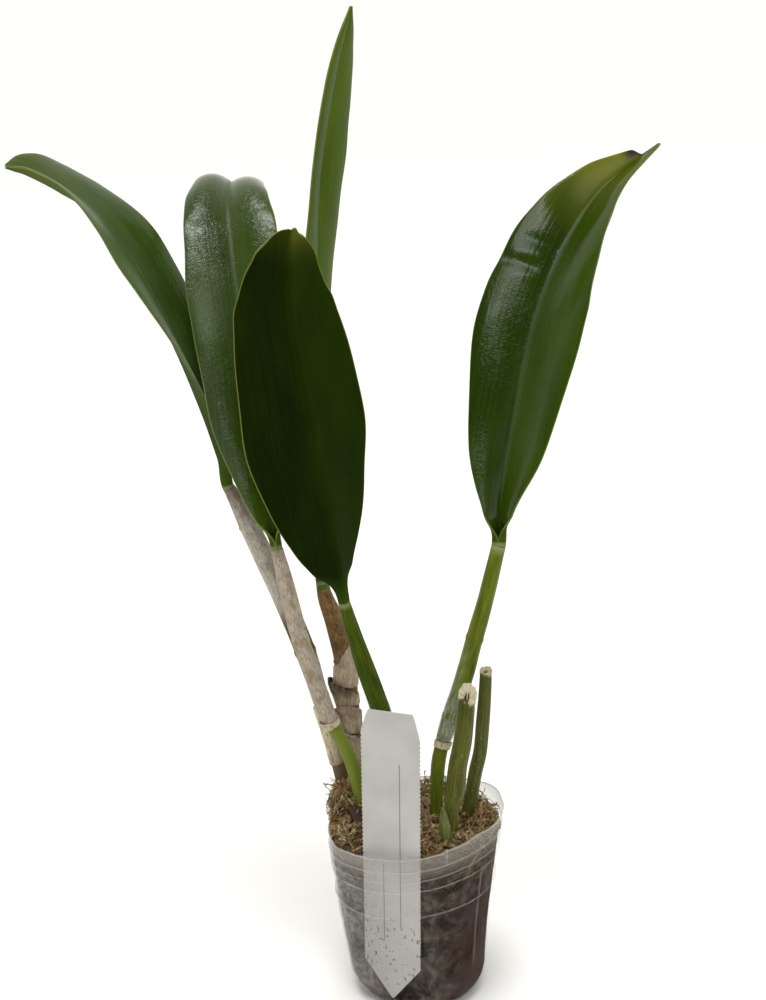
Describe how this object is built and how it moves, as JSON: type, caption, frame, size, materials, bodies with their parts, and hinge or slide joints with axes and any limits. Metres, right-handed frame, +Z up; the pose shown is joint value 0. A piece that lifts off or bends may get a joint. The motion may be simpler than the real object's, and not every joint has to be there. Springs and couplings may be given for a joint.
{
  "type": "potted orchid",
  "caption": "Cattleya orchid with leafy pseudobulbs and old cut stems, rooted in sphagnum moss in a small, soft, clear nursery pot with a stick-in label.",
  "frame": {"origin": "centre of the pot's flat foot, on the surface it stands on", "axes": "+Z up; -Y towards the label and the front of the plant; +X towards the newest green pseudobulb and its leaf"},
  "size_m": [0.2597, 0.181, 0.4051],
  "materials": {
    "clear_plastic": "satin",
    "label_plastic": "satin",
    "sphagnum": "matte",
    "rhizome": "matte",
    "dry_cane": "matte",
    "brown_cane": "matte",
    "green_cane": "satin",
    "cut_stem": "satin",
    "shoot": "satin",
    "papery_sheath": "matte",
    "leaf": "gloss"
  },
  "bodies": {
    "root": {"pot": "clear_plastic", "label": "label_plastic", "moss": "sphagnum", "rhizome": "rhizome", "pseudobulb_1": "dry_cane", "pseudobulb_2": "dry_cane", "pseudobulb_3": "brown_cane", "pseudobulb_4": "green_cane", "pseudobulb_5": "green_cane", "cut_stem_1": "cut_stem", "cut_stem_2": "cut_stem", "shoot": "shoot", "sheath_1_low": "papery_sheath", "sheath_2_lip": "papery_sheath", "sheath_3_low": "papery_sheath", "sheath_3_mid": "papery_sheath", "sheath_3_top": "papery_sheath", "sheath_4_low": "papery_sheath", "sheath_5_lip": "papery_sheath", "sheath_5_top": "papery_sheath", "leaf_1": "leaf", "leaf_2": "leaf", "leaf_3": "leaf", "leaf_4": "leaf", "leaf_5": "leaf"}
  },
  "joints": []
}
